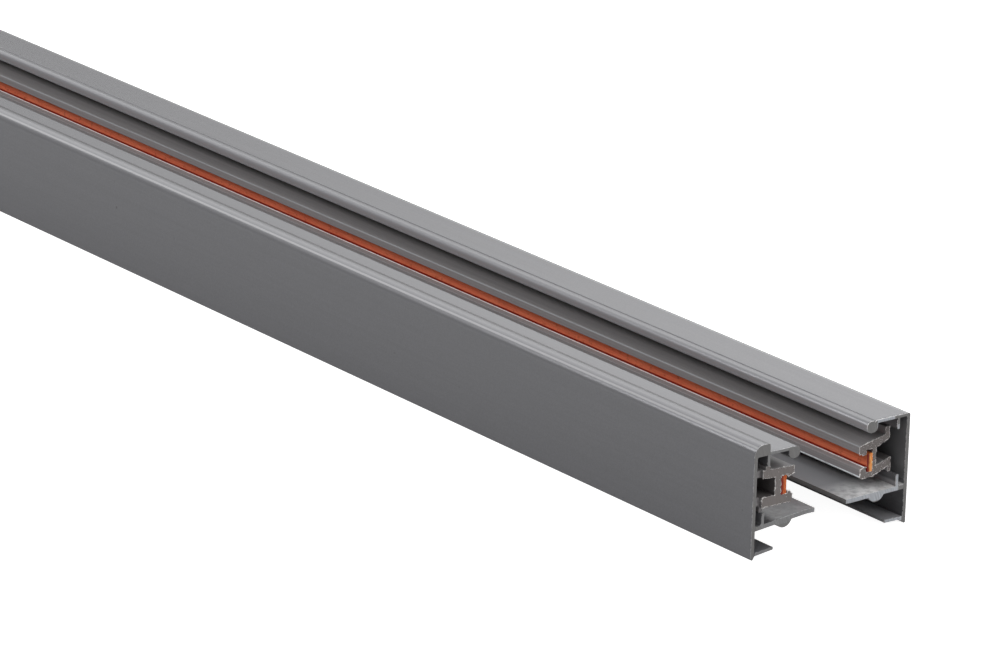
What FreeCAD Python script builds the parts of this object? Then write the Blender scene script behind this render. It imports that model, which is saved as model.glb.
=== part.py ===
import FreeCAD, Part
import Sketcher
import os

# Two-wire surface lighting track, millimetres.
# The track lies open side up on the feet of its walls and runs along X.
# The wall with the raised bead is on the -Y side, the level wall on the +Y side.
# The origin is the middle of the underside. Profiles are drawn across the track from
# the outer face of the bead side, so each body is set back by half the width.
# Upwards each side is a stack: web, web rib, insulator, lip rib, lip. The height of
# the walls follows from what they hold, 20.75 mm on the bead side and 20.35 mm opposite.

# Driving dimensions
SIZES = {
    # Overall form of the extrusion
    "track_length": 500,
    "track_width": 35,
    "wall": 0.65,
    # Lips that reach from the wall tops over the conductors, each ending in a nose
    "lip_thickness": 0.5,
    "bead_width": 3.4,
    "bead_depth": 2.1,
    "bead_outer_round": 1.9,
    "bead_inner_round": 0.4,
    "flush_corner_round": 0.4,
    "bead_lip_reach": 10.1,
    "flush_lip_reach": 9.8,
    "nose_width": 2.4,
    "nose_depth": 2.1,
    "nose_round": 0.95,
    "nose_top_round": 0.9,
    "key_groove_offset": 8.0,
    "key_groove_width": 0.5,
    "key_groove_depth": 0.3,
    # Ribs that trap the insulators from above and below
    "rib_thickness": 0.5,
    "bead_lip_rib_offset": 2.95,
    "flush_lip_rib_offset": 2.35,
    "lip_rib_depth": 2.0,
    "web_rib_offset": 2.1,
    "bead_web_rib_height": 2.25,
    "flush_web_rib_height": 2.15,
    "trough_round": 0.45,
    "inner_round": 0.3,
    # Web between the walls, level in its middle, with a half-round rib each side
    "web_thickness": 0.75,
    "bead_web_height": 5.15,
    "middle_web_height": 6.2,
    "flush_web_height": 6.45,
    "web_level_width": 11,
    "half_round_offset": 7.05,
    "half_round_width": 3.6,
    "half_round_depth": 1.05,
    # Feet of the walls and the short flanges beside them
    "foot_tip": 0.35,
    "foot_chamfer": 0.12,
    "bead_foot_root": 0.75,
    "flush_foot_root": 1.6,
    "flange_thickness": 0.5,
    "flange_reach": 4.85,
    "bead_flange_height": 0.65,
    "bead_flange_rise": 0.45,
    "flush_flange_height": 0.8,
    "flush_flange_rise": 0.05,
    # Cuts in the web
    "end_slot_width": 7.15,
    "end_slot_depth": 22,
    "screw_hole_diameter": 4.5,
    "screw_hole_inset": 100,
    # Conductors
    "conductor_thickness": 1.2,
    "conductor_height": 3.4,
    "conductor_offset": 6.25,
    "conductor_round": 0.15,
    # Insulators, both sawn to one length a little shorter than the track
    "insulator_shortfall": 5,
    "insulator_play": 0.15,
    "bead_setback": 0.2,
    "flush_setback": 2.3,
    "foot_width": 0.6,
    "hook_width": 0.8,
    "tip_gap": 0.3,
    "tip_flat": 0.4,
    "insulator_round": 0.3,
    # Section of the bead side insulator
    "bead_floor_rise": 2.6,
    "bead_headroom": 0.1,
    "bead_insulator_web": 1.3,
    "bead_hook_shift": -0.15,
    "bead_hook_margin": 0.6,
    "bead_hook_height": 0.65,
    "bead_upper_inner": 9.1,
    "bead_upper_thickness": 1.35,
    "bead_upper_slope": 0.25,
    "bead_upper_outer_rise": 0.2,
    "bead_upper_tip_drop": 0.35,
    "bead_lower_inner": 8.8,
    "bead_lower_thickness": 1.6,
    "bead_lower_outer_rise": 0.0,
    "bead_lower_shoulder": 0.2,
    "bead_lower_shoulder_rise": 0.0,
    "bead_lower_tip_rise": 0.45,
    "bead_lower_tip_slope": 0.7,
    # Section of the flush side insulator, whose flanges slope up to the wall
    "flush_floor_rise": 0.7,
    "flush_headroom": 0.8,
    "flush_insulator_web": 0.75,
    "flush_hook_shift": 0.3,
    "flush_hook_margin": 0.1,
    "flush_hook_height": 1.4,
    "flush_upper_inner": 9.3,
    "flush_upper_thickness": 0.85,
    "flush_upper_slope": 1.2,
    "flush_upper_outer_rise": 1.25,
    "flush_upper_tip_drop": 0.95,
    "flush_lower_inner": 9.0,
    "flush_lower_thickness": 1.0,
    "flush_lower_outer_rise": 1.3,
    "flush_lower_shoulder": 0.85,
    "flush_lower_shoulder_rise": 1.1,
    "flush_lower_tip_rise": 1.0,
    "flush_lower_tip_slope": 0.3,
}

SIDES = ("bead", "flush")
SAME_PLACE = 0.02

document = FreeCAD.newDocument("lighting_track")
sheet = document.addObject("Spreadsheet::Sheet", "sizes")
for row, (alias, value) in enumerate(SIZES.items(), start=1):
    sheet.set(f"A{row}", alias)
    sheet.set(f"B{row}", str(value))
    sheet.setAlias(f"B{row}", alias)
document.recompute()


class Size:
    """A length together with the formula in sheet cells that drives it."""

    def __init__(self, value, formula):
        self.value = float(value)
        self.formula = formula

    def __add__(self, other):
        other = as_size(other)
        return Size(self.value + other.value, f"({self.formula} + {other.formula})")

    def __sub__(self, other):
        other = as_size(other)
        return Size(self.value - other.value, f"({self.formula} - {other.formula})")

    def __mul__(self, other):
        other = as_size(other)
        return Size(self.value * other.value, f"({self.formula} * {other.formula})")

    def __truediv__(self, other):
        other = as_size(other)
        return Size(self.value / other.value, f"({self.formula} / {other.formula})")


def as_size(number):
    return number if isinstance(number, Size) else Size(number, str(number))


def size(alias):
    return Size(sheet.get(alias), f"sizes.{alias}")


def own(side, alias):
    """The cell of this name that belongs to one side of the track."""
    return size(f"{side}_{alias}")


def across(side, distance):
    """Turn a distance from a side's outer face into the profile's own coordinate."""
    distance = as_size(distance)
    return distance if side == "bead" else size("track_width") - distance


def bind(thing, path, length):
    thing.setExpression(path, length.formula)


def new_body(name, centre):
    """Empty body whose profile plane stands at the given place along the track."""
    body = document.addObject("PartDesign::Body", name)
    body.Label = name
    set_over = Size(0, "0") - size("track_width") / 2
    body.Placement.Base = FreeCAD.Vector(centre.value, set_over.value, 0)
    bind(body, "Placement.Base.x", centre)
    bind(body, "Placement.Base.y", set_over)
    return body


def origin_plane(body, role):
    return next(plane for plane in body.Origin.OriginFeatures if plane.Role == role)


def new_sketch(body, name, role):
    sketch = body.newObject("Sketcher::SketchObject", name)
    sketch.AttachmentSupport = [(origin_plane(body, role), "")]
    sketch.MapMode = "FlatFace"
    return sketch


def dimension(sketch, name, constraint, length):
    """Add a constraint under a name and let the sheet drive its value."""
    row = sketch.addConstraint(constraint)
    sketch.renameConstraint(row, name)
    if "sizes." in length.formula:
        bind(sketch, f"Constraints.{name}", length)


def pin(sketch, name, element, point, place):
    """Dimension a point from the sketch's origin, along each axis that is given."""
    for kind, length in zip(("DistanceX", "DistanceY"), place):
        if length is not None:
            length = as_size(length)
            constraint = Sketcher.Constraint(kind, -1, 1, element, point, length.value)
            dimension(sketch, f"{kind}_{name}", constraint, length)


def outline(body, name, corners, role="YZ_Plane", arc=None):
    """Closed outline through the corners, in order.

    arc is (side, centre, bulge): that side of the outline is an arc about the centre,
    and bulge is the unit step from the centre to the middle of the arc.
    """
    sketch = new_sketch(body, name, role)
    points = [FreeCAD.Vector(as_size(u).value, as_size(v).value, 0) for u, v in corners]
    count = len(points)
    for side, start in enumerate(points):
        end = points[(side + 1) % count]
        if arc and side == arc[0]:
            centre = FreeCAD.Vector(arc[1][0].value, arc[1][1].value, 0)
            radius = (start - centre).Length
            middle = centre + FreeCAD.Vector(*arc[2], 0) * radius
            sketch.addGeometry(Part.Arc(start, middle, end))
        else:
            sketch.addGeometry(Part.LineSegment(start, end))
    for side in range(count):
        following = (side + 1) % count
        sketch.addConstraint(Sketcher.Constraint("Coincident", side, 2, following, 1))
    for side, corner in enumerate(corners):
        pin(sketch, f"corner_{side}", side, 1, corner)
    if arc:
        centre_place = [c if step else None for c, step in zip(arc[1], arc[2])]
        pin(sketch, "centre", arc[0], 3, centre_place)
    return sketch


def pad(body, name, sketch, length):
    """Extrude an outline along the track, evenly to both ends."""
    feature = body.newObject("PartDesign::Pad", name)
    feature.Profile = sketch
    feature.SideType = "Symmetric"
    feature.Length = length.value
    bind(feature, "Length", length)
    return feature


def cut_through(body, name, sketch):
    """Cut an outline through the whole body, both ways from its plane."""
    feature = body.newObject("PartDesign::Pocket", name)
    feature.Profile = sketch
    feature.Type = "ThroughAll"
    feature.SideType = "Symmetric"
    return feature


def round_edges(body, name, places, radius):
    """Fillet the lengthwise edges that pass through these places of the profile."""
    document.recompute()
    shape = body.Tip.Shape
    names = []
    for number, edge in enumerate(shape.Edges, start=1):
        for u, v in places:
            gaps = [abs(p.Y - u.value) + abs(p.Z - v.value) for p in edge.Vertexes]
            if len(gaps) == 2 and max(gaps) < SAME_PLACE:
                names.append(f"Edge{number}")
    if len(names) < len(places):
        raise RuntimeError(f"{name}: found {len(names)} of {len(places)} edges")
    base = body.Tip
    feature = body.newObject("PartDesign::Fillet", name)
    feature.Base = (base, names)
    feature.Radius = radius.value
    bind(feature, "Radius", radius)
    return feature


def web_rib_top(side):
    """Height of the rib that the insulator stands on."""
    web_top = own(side, "web_height") + size("web_thickness")
    return web_top + own(side, "web_rib_height")


def channel_floor(side):
    """Height of the conductor's lower edge."""
    return web_rib_top(side) + own(side, "floor_rise")


def channel_ceiling(side):
    return channel_floor(side) + size("conductor_height") + own(side, "headroom")


def insulator_outer_top(side):
    """Height of the upper flange where it reaches the hook."""
    inner_top = channel_ceiling(side) + own(side, "upper_thickness")
    return inner_top + own(side, "upper_slope")


def hook_top(side):
    return insulator_outer_top(side) + own(side, "hook_height")


def lip_rib_bottom(side):
    return hook_top(side) + size("insulator_play")


def lip_underside(side):
    """Height of the lip's lower face, which the lip rib hangs from."""
    return lip_rib_bottom(side) + size("lip_rib_depth")


def lip_top(side):
    return lip_underside(side) + size("lip_thickness")


def wall_top(side):
    """One wall ends in the raised bead, the other level with its lip."""
    if side == "bead":
        return lip_underside(side) + size("bead_depth")
    return lip_top(side)


def insulator_length():
    return size("track_length") - size("insulator_shortfall")


def level_start():
    """Distance from either outer face at which the web becomes level."""
    return (size("track_width") - size("web_level_width")) / 2


def web_underside(side, distance):
    """Height of the web's sloping underside at a distance from a side's outer face."""
    low = own(side, "web_height")
    return low + (size("middle_web_height") - low) * distance / level_start()


def make_web(body):
    thickness = size("web_thickness")
    width = size("track_width")
    underside = [
        (as_size(0), size("bead_web_height")),
        (level_start(), size("middle_web_height")),
        (width - level_start(), size("middle_web_height")),
        (width, size("flush_web_height")),
    ]
    top = [(u, v + thickness) for u, v in reversed(underside)]
    sketch = outline(body, "web_outline", underside + top)
    pad(body, "web", sketch, size("track_length"))


def make_wall(body, side):
    """Wall on its foot, which narrows to a tip, with the short flange beside it."""
    wall = size("wall")
    height = wall_top(side)
    flange = own(side, "flange_height")
    thickness = size("flange_thickness")
    chamfer = size("foot_chamfer")
    parts = {
        "wall": [(0, flange), (0, height), (wall, height), (wall, flange)],
        "foot": [
            (0, chamfer),
            (chamfer, 0),
            (size("foot_tip"), 0),
            (own(side, "foot_root"), flange),
            (own(side, "foot_root"), flange + thickness),
            (0, flange + thickness),
        ],
        "flange": [
            (0, flange),
            (wall, flange),
            (size("flange_reach"), flange + own(side, "flange_rise")),
            (size("flange_reach"), flange + own(side, "flange_rise") + thickness),
            (wall, flange + thickness),
            (0, flange + thickness),
        ],
    }
    for name, corners in parts.items():
        placed = [(across(side, u), v) for u, v in corners]
        sketch = outline(body, f"{side}_{name}_outline", placed)
        pad(body, f"{side}_{name}", sketch, size("track_length"))


def make_lip(body, side):
    """Lip with its rounded nose and the rib that hangs under its root."""
    top = lip_top(side)
    reach = own(side, "lip_reach")
    nose_start = reach - size("nose_width")
    nose_bottom = top - size("nose_depth")
    lip_bottom = lip_underside(side)
    rib = own(side, "lip_rib_offset")
    rib_root = lip_bottom + size("lip_thickness") / 2
    parts = {
        "lip": [(0, lip_bottom), (0, top), (reach, top), (reach, lip_bottom)],
        "nose": [
            (nose_start, nose_bottom),
            (nose_start, top),
            (reach, top),
            (reach, nose_bottom),
        ],
        "lip_rib": [
            (rib, lip_rib_bottom(side)),
            (rib, rib_root),
            (rib + size("rib_thickness"), rib_root),
            (rib + size("rib_thickness"), lip_rib_bottom(side)),
        ],
    }
    for name, corners in parts.items():
        placed = [(across(side, u), v) for u, v in corners]
        sketch = outline(body, f"{side}_{name}_outline", placed)
        pad(body, f"{side}_{name}", sketch, size("track_length"))


def make_bead(body):
    """Solid raised bead that tops the wall on one side and keys the adapters."""
    top = wall_top("bead")
    bottom = lip_underside("bead")
    width = size("bead_width")
    corners = [(0, bottom), (0, top), (width, top), (width, bottom)]
    sketch = outline(body, "bead_outline", corners)
    pad(body, "bead", sketch, size("track_length"))


def make_web_ribs(body, side):
    """Upright rib that carries the insulator and half-round rib under the web."""
    rib = size("web_rib_offset")
    rib_end = rib + size("rib_thickness")
    half = size("web_thickness") / 2
    root = web_underside(side, rib) + half
    top = web_rib_top(side)
    corners = [(rib, root), (rib, top), (rib_end, top), (rib_end, root)]
    placed = [(across(side, u), v) for u, v in corners]
    sketch = outline(body, f"{side}_web_rib_outline", placed)
    pad(body, f"{side}_web_rib", sketch, size("track_length"))

    middle = across(side, size("half_round_offset"))
    chord_height = web_underside(side, size("half_round_offset")) + half
    reach = size("half_round_width") / 2
    depth = size("half_round_depth") + half
    radius = (reach * reach + depth * depth) / (depth * 2)
    centre = (middle, chord_height - depth + radius)
    chord = [(middle - reach, chord_height), (middle + reach, chord_height)]
    sketch = outline(
        body, f"{side}_half_round_outline", chord, arc=(0, centre, (0, -1))
    )
    pad(body, f"{side}_half_round", sketch, size("track_length"))


def round_profile(body):
    """Radii of the extrusion's profile, from the die."""
    top = wall_top("bead")
    noses = []
    nose_tops = []
    troughs = []
    for side in SIDES:
        reach = own(side, "lip_reach")
        bottom = lip_top(side) - size("nose_depth")
        noses.append((across(side, reach), bottom))
        noses.append((across(side, reach - size("nose_width")), bottom))
        nose_tops.append((across(side, reach), lip_top(side)))
        for distance in (size("wall"), size("web_rib_offset")):
            height = web_underside(side, distance) + size("web_thickness")
            troughs.append((across(side, distance), height))
    corner = [(across("flush", 0), wall_top("flush"))]
    under_lips = [(across(side, size("wall")), lip_underside(side)) for side in SIDES]
    round_edges(body, "noses", noses, size("nose_round"))
    round_edges(body, "nose_tops", nose_tops, size("nose_top_round"))
    round_edges(body, "troughs", troughs, size("trough_round"))
    round_edges(body, "under_lips", under_lips, size("inner_round"))
    round_edges(body, "bead_outer", [(as_size(0), top)], size("bead_outer_round"))
    round_edges(body, "bead_inner", [(size("bead_width"), top)], size("bead_inner_round"))
    round_edges(body, "flush_corner", corner, size("flush_corner_round"))


def cut_key_groove(body):
    """V-groove along the flush lip, the second mark of the keyed side."""
    centre = across("flush", size("key_groove_offset"))
    half = size("key_groove_width") / 2
    top = wall_top("flush")
    bottom = top - size("key_groove_depth")
    corners = [(centre - half, top), (centre + half, top), (centre, bottom)]
    cut_through(body, "key_groove", outline(body, "key_groove_outline", corners))


def cut_web(body):
    """Round-ended end slot and screw hole at one end, mirrored to the other."""
    end = size("track_length") / 2
    middle = size("track_width") / 2
    radius = size("end_slot_width") / 2
    inner = end - size("end_slot_depth") + radius
    corners = [
        (end, middle + radius),
        (inner, middle + radius),
        (inner, middle - radius),
        (end, middle - radius),
    ]
    arc = (1, (inner, middle), (-1, 0))
    slot = outline(body, "end_slot_outline", corners, role="XY_Plane", arc=arc)
    slot_cut = cut_through(body, "end_slot", slot)

    hole = new_sketch(body, "screw_hole_outline", "XY_Plane")
    place = (end - size("screw_hole_inset"), middle)
    radius = size("screw_hole_diameter") / 2
    centre = FreeCAD.Vector(place[0].value, place[1].value, 0)
    hole.addGeometry(Part.Circle(centre, FreeCAD.Vector(0, 0, 1), radius.value))
    pin(hole, "hole", 0, 3, place)
    dimension(hole, "hole_radius", Sketcher.Constraint("Radius", 0, radius.value), radius)
    hole_cut = cut_through(body, "screw_hole", hole)

    mirrored = body.newObject("PartDesign::Mirrored", "other_end")
    mirrored.Originals = [slot_cut, hole_cut]
    mirrored.MirrorPlane = (origin_plane(body, "YZ_Plane"), [""])
    body.Tip = mirrored


def make_track_profile():
    """The one-piece aluminium extrusion, punched at both ends."""
    body = new_body("track_profile", as_size(0))
    make_web(body)
    for side in SIDES:
        make_wall(body, side)
    make_bead(body)
    for side in SIDES:
        make_lip(body, side)
        make_web_ribs(body, side)
    round_profile(body)
    cut_key_groove(body)
    cut_web(body)
    return body


def insert_centre(side):
    """Middle of an insulator along the track: its visible end is set back."""
    return size("track_length") / 2 - own(side, "setback") - insulator_length() / 2


def make_insulator(side):
    """Plastic strip that stands on the web's rib and hooks under the lip's rib.

    Its inner face has a channel that holds the conductor between two tips.
    """
    body = new_body(f"{side}_side_insulator", insert_centre(side))
    back = size("conductor_offset")
    web_outer = back - own(side, "insulator_web")
    floor = channel_floor(side)
    ceiling = channel_ceiling(side)
    tip = back + size("conductor_thickness") + size("tip_gap")
    tip_end = tip + size("tip_flat")

    # Upper flange with its hook, from the wall side round to the channel
    hook = own(side, "lip_rib_offset") + own(side, "hook_shift")
    hook_end = hook + size("hook_width")
    outer = hook - own(side, "hook_margin")
    inner = own(side, "upper_inner")
    inner_top = ceiling + own(side, "upper_thickness")
    outer_top = insulator_outer_top(side)
    tip_bottom = ceiling - own(side, "upper_tip_drop")
    upper = [
        (outer, ceiling + own(side, "upper_outer_rise")),
        (outer, outer_top),
        (hook, outer_top),
        (hook, hook_top(side)),
        (hook_end, hook_top(side)),
        (hook_end, outer_top),
        (inner, inner_top),
        (inner, tip_bottom + size("tip_flat")),
        (tip_end, tip_bottom),
        (tip, tip_bottom),
        (tip, ceiling),
        (web_outer, ceiling),
    ]

    # Lower flange with its foot, from the foot round to the channel
    foot = size("web_rib_offset")
    foot_end = foot + size("foot_width")
    under = floor - own(side, "lower_thickness")
    shoulder = floor + own(side, "lower_shoulder")
    tip_top = floor + own(side, "lower_tip_rise")
    lower_inner = own(side, "lower_inner")
    lower = [
        (foot, web_rib_top(side)),
        (foot_end, web_rib_top(side)),
        (foot_end, under + own(side, "lower_outer_rise")),
        (back, under),
        (lower_inner - size("insulator_round"), under),
        (lower_inner, under + size("insulator_round")),
        (lower_inner, tip_top - own(side, "lower_tip_slope")),
        (tip_end, tip_top),
        (tip, tip_top),
        (tip, floor),
        (back, floor),
        (web_outer, shoulder),
        (foot, shoulder + own(side, "lower_shoulder_rise")),
    ]

    # Upright web behind the conductor, rooted in both flanges
    root = size("insulator_round")
    web = [
        (web_outer, floor - root),
        (web_outer, ceiling + root),
        (back, ceiling + root),
        (back, floor - root),
    ]
    for name, corners in {"lower_flange": lower, "web": web, "upper_flange": upper}.items():
        placed = [(across(side, u), v) for u, v in corners]
        sketch = outline(body, f"{side}_{name}_outline", placed)
        pad(body, f"{side}_{name}", sketch, insulator_length())
    rounded = [(across(side, inner), inner_top)]
    round_edges(body, f"{side}_upper_corner", rounded, size("insulator_round"))
    return body


def make_conductor(side):
    """Flat copper strip with rolled edges that stands on its channel's floor."""
    body = new_body(f"{side}_side_conductor", insert_centre(side))
    back = size("conductor_offset")
    front = back + size("conductor_thickness")
    floor = channel_floor(side)
    top = floor + size("conductor_height")
    corners = [(back, floor), (back, top), (front, top), (front, floor)]
    placed = [(across(side, u), v) for u, v in corners]
    sketch = outline(body, f"{side}_strip_outline", placed)
    pad(body, f"{side}_strip", sketch, insulator_length())
    round_edges(body, f"{side}_strip_edges", placed, size("conductor_round"))
    return body


bodies = [make_track_profile()]
for track_side in SIDES:
    bodies.append(make_insulator(track_side))
    bodies.append(make_conductor(track_side))
document.recompute()

# Nothing is written unless every feature and every body is sound
for thing in document.Objects:
    if {"Invalid", "Error"} & set(thing.State):
        raise RuntimeError(f"{thing.Label} is {thing.State}")
for body in bodies:
    if body.Shape.isNull() or not body.Shape.isValid() or len(body.Shape.Solids) != 1:
        raise RuntimeError(f"{body.Label} isn't one sound solid")

os.makedirs("parts", exist_ok=True)
for body in bodies:
    body.Shape.exportStep(f"parts/{body.Label}.step")
    box = body.Shape.BoundBox
    print(f"{body.Label}: {body.Shape.Volume:.1f} mm3, top {box.ZMax:.2f} mm")
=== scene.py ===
from math import radians

import bmesh
import bpy
from mathutils import Euler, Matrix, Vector


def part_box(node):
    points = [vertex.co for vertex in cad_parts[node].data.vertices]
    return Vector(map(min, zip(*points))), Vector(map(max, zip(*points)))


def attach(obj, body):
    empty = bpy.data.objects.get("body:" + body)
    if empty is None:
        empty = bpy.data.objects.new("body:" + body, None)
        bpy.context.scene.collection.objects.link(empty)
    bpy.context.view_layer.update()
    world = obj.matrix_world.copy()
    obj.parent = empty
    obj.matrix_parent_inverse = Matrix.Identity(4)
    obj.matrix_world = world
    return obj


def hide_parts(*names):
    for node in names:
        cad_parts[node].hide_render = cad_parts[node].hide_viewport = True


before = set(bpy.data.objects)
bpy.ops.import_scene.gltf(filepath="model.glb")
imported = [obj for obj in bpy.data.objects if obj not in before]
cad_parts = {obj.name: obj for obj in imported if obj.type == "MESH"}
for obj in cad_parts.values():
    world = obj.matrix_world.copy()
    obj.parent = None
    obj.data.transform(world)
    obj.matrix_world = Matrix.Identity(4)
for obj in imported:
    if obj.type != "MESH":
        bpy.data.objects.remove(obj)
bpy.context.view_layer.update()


# Aluminium channel: one extrusion with two walls, a web and a lip with a rounded nose on
# each wall. It is powder coated grey all over, then sawn to length, and the web is
# punched with a slot at either end for the feed and with two screw holes.

MM = 0.001
SAME_SPOT = 0.001 * MM


def turn_at(points, i):
    """Angle by which an outline turns at one of its points."""
    before, here, after = points[i - 1], points[i], points[(i + 1) % len(points)]
    return (here - before).angle(after - here, 0)


def real_corners(points):
    """An outline without the points at which it hardly turns."""
    least_turn = radians(0.8)
    return [point for i, point in enumerate(points) if turn_at(points, i) > least_turn]


def cross_section(node, x):
    """Closed outline of a solid's section across the track, as points (y, z).

    It always runs anticlockwise, so that the faces swept from it point outwards.
    """
    copy = bmesh.new()
    copy.from_mesh(node.data)
    bmesh.ops.remove_doubles(copy, verts=copy.verts, dist=SAME_SPOT)
    cut = bmesh.ops.bisect_plane(
        copy,
        geom=copy.verts[:] + copy.edges[:] + copy.faces[:],
        plane_co=(x, 0, 0),
        plane_no=(1, 0, 0),
        clear_inner=True,
        clear_outer=True,
    )
    ring = {}
    for part in cut["geom_cut"]:
        if isinstance(part, bmesh.types.BMEdge):
            for vert in part.verts:
                ring.setdefault(vert, []).append(part.other_vert(vert))
    first = here = next(iter(ring))
    before, points = None, []
    while True:
        points.append(Vector((here.co.y, here.co.z)))
        before, here = here, next(vert for vert in ring[here] if vert is not before)
        if here is first:
            break
    copy.free()
    corners = real_corners(points)
    area = sum(corners[i - 1].cross(corner) for i, corner in enumerate(corners))
    return corners if area > 0 else corners[::-1]


def outline_object(name, points, edge_round, arc_round=0, longest_arc_side=0):
    """Outline drawn flat, each corner carrying the radius it is to be rounded by.

    Where short sides meet at a blunt angle they stand for an arc, and a wider radius turns
    them back into one.
    """
    count = len(points)
    blunt = radians(48)
    sides = [(points[(i + 1) % count] - points[i]).length for i in range(count)]
    radii = []
    for i in range(count):
        short = min(sides[i], sides[i - 1]) < longest_arc_side
        radii.append(arc_round if short and turn_at(points, i) < blunt else edge_round)
    mesh = bpy.data.meshes.new(name)
    ring = [(i, (i + 1) % count) for i in range(count)]
    mesh.from_pydata([(point.x, point.y, 0) for point in points], ring, [])
    radius = mesh.attributes.new("corner_radius", "FLOAT", "POINT")
    radius.data.foreach_set("value", radii)
    made = bpy.data.objects.new(name, mesh)
    bpy.context.collection.objects.link(made)
    return made


def place(tree, kind, feeds=None, **settings):
    """Add a node, set it up and feed its inputs with values or other nodes' outputs."""
    node = tree.nodes.new(kind)
    for name, value in settings.items():
        setattr(node, name, value)
    for key, value in (feeds or {}).items():
        if isinstance(value, bpy.types.NodeSocket):
            tree.links.new(value, node.inputs[key])
        else:
            node.inputs[key].default_value = value
    return node


def reckon(tree, operation, *values):
    """Math node in any kind of tree."""
    node = place(tree, "ShaderNodeMath", dict(enumerate(values)), operation=operation)
    return node.outputs[0]


def new_shape_tree(name, inputs):
    """Empty Geometry Nodes tree with named inputs, ready to be filled."""
    tree = bpy.data.node_groups.new(name, "GeometryNodeTree")
    geometry = "NodeSocketGeometry"
    tree.interface.new_socket("Geometry", in_out="INPUT", socket_type=geometry)
    for label, kind in inputs:
        tree.interface.new_socket(label, in_out="INPUT", socket_type="NodeSocket" + kind)
    tree.interface.new_socket("Geometry", in_out="OUTPUT", socket_type=geometry)
    source = tree.nodes.new("NodeGroupInput")
    return tree, source.outputs


def finish_shape_tree(tree, geometry, finish):
    """End a tree: make its instances real and give it its material."""
    realized = place(tree, "GeometryNodeRealizeInstances", {0: geometry})
    feeds = {"Geometry": realized.outputs[0], "Material": finish}
    finished = place(tree, "GeometryNodeSetMaterial", feeds)
    place(tree, "NodeGroupOutput", {0: finished.outputs[0]})


def shape(thing, tree, values):
    """Run a tree on an object with the given inputs and keep the result as its mesh."""
    modifier = thing.modifiers.new(tree.name, "NODES")
    modifier.node_group = tree
    for item in tree.interface.items_tree:
        if item.in_out == "INPUT" and item.name in values:
            modifier[item.identifier] = values[item.name]
    weights = thing.modifiers.new("even normals", "WEIGHTED_NORMAL")
    weights.keep_sharp = True
    weights.weight = 100
    bpy.context.view_layer.update()
    evaluated = thing.evaluated_get(bpy.context.evaluated_depsgraph_get())
    mesh = bpy.data.meshes.new_from_object(evaluated)
    mesh.name = thing.name
    thing.modifiers.clear()
    thing.data = mesh


def rounded_outline(tree, flat_outline):
    """The outline as a curve, every corner rounded by the radius it carries."""
    ring = place(tree, "GeometryNodeMeshToCurve", {0: flat_outline})
    feeds = {"Name": "corner_radius"}
    radius = place(tree, "GeometryNodeInputNamedAttribute", feeds, data_type="FLOAT")
    feeds = {
        "Curve": ring.outputs[0],
        "Radius": radius.outputs[0],
        "Count": 5,
        "Limit Radius": True,
    }
    return place(tree, "GeometryNodeFilletCurve", feeds, mode="POLY").outputs[0]


def swept_bar(tree, outline, start, end):
    """The outline swept from one place along the track to another, with closed ends."""
    from_here = place(tree, "ShaderNodeCombineXYZ", {"Z": start})
    to_there = place(tree, "ShaderNodeCombineXYZ", {"Z": end})
    feeds = {"Start": from_here.outputs[0], "End": to_there.outputs[0]}
    path = place(tree, "GeometryNodeCurvePrimitiveLine", feeds)
    feeds = {"Curve": path.outputs[0], "Profile Curve": outline, "Fill Caps": True}
    bar = place(tree, "GeometryNodeCurveToMesh", feeds)

    # Two roundings that meet leave two points on one spot.
    feeds = {"Geometry": bar.outputs[0], "Distance": SAME_SPOT}
    return place(tree, "GeometryNodeMergeByDistance", feeds).outputs[0]


def random_value(tree, kind, low, high, seed):
    """Random Value node's output for one kind of value."""
    node = tree.nodes.new("FunctionNodeRandomValue")
    node.data_type = kind
    first = {"FLOAT_VECTOR": 0, "FLOAT": 2}[kind]
    node.inputs[first].default_value = low
    node.inputs[first + 1].default_value = high
    node.inputs["Seed"].default_value = seed
    return node.outputs[{"FLOAT_VECTOR": 0, "FLOAT": 1}[kind]]


def burrs_round_end(tree, outline, end, thickness, share, seed):
    """Thin slivers that a saw leaves standing along the outline of an end face."""
    spacing = 0.26 * MM
    stretched = (0.7, 0.7, 2.6)
    most_slant = 0.5
    feeds = {"Curve": outline, "Length": spacing}
    points = place(tree, "GeometryNodeCurveToPoints", feeds, mode="LENGTH")
    feeds = {0: random_value(tree, "FLOAT", 0.0, 1.0, seed), 1: share}
    kept = place(tree, "FunctionNodeCompare", feeds, operation="LESS_THAN")
    feeds = {"Radius": thickness, "Subdivisions": 1}
    ball = place(tree, "GeometryNodeMeshIcoSphere", feeds)
    feeds = {"Geometry": ball.outputs[0], "Scale": stretched}
    sliver = place(tree, "GeometryNodeTransform", feeds)
    low, high = (-most_slant,) * 3, (most_slant,) * 3
    feeds = {
        0: points.outputs["Rotation"],
        1: random_value(tree, "FLOAT_VECTOR", low, high, seed + 1),
    }
    askew = place(tree, "FunctionNodeRotateRotation", feeds, rotation_space="LOCAL")
    feeds = {
        "Points": points.outputs[0],
        "Selection": kept.outputs[0],
        "Instance": sliver.outputs[0],
        "Rotation": askew.outputs[0],
        "Scale": random_value(tree, "FLOAT", 0.4, 1.15, seed + 2),
    }
    slivers = place(tree, "GeometryNodeInstanceOnPoints", feeds)
    away = place(tree, "ShaderNodeCombineXYZ", {"Z": end})
    feeds = {"Geometry": slivers.outputs[0], "Translation": away.outputs[0]}
    moved = place(tree, "GeometryNodeTransform", feeds)
    return place(tree, "GeometryNodeRealizeInstances", {0: moved.outputs[0]}).outputs[0]


def joined(tree, parts):
    """Several geometries as one."""
    node = tree.nodes.new("GeometryNodeJoinGeometry")
    for part in parts:
        tree.links.new(part, node.inputs[0])
    return node.outputs[0]


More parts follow.
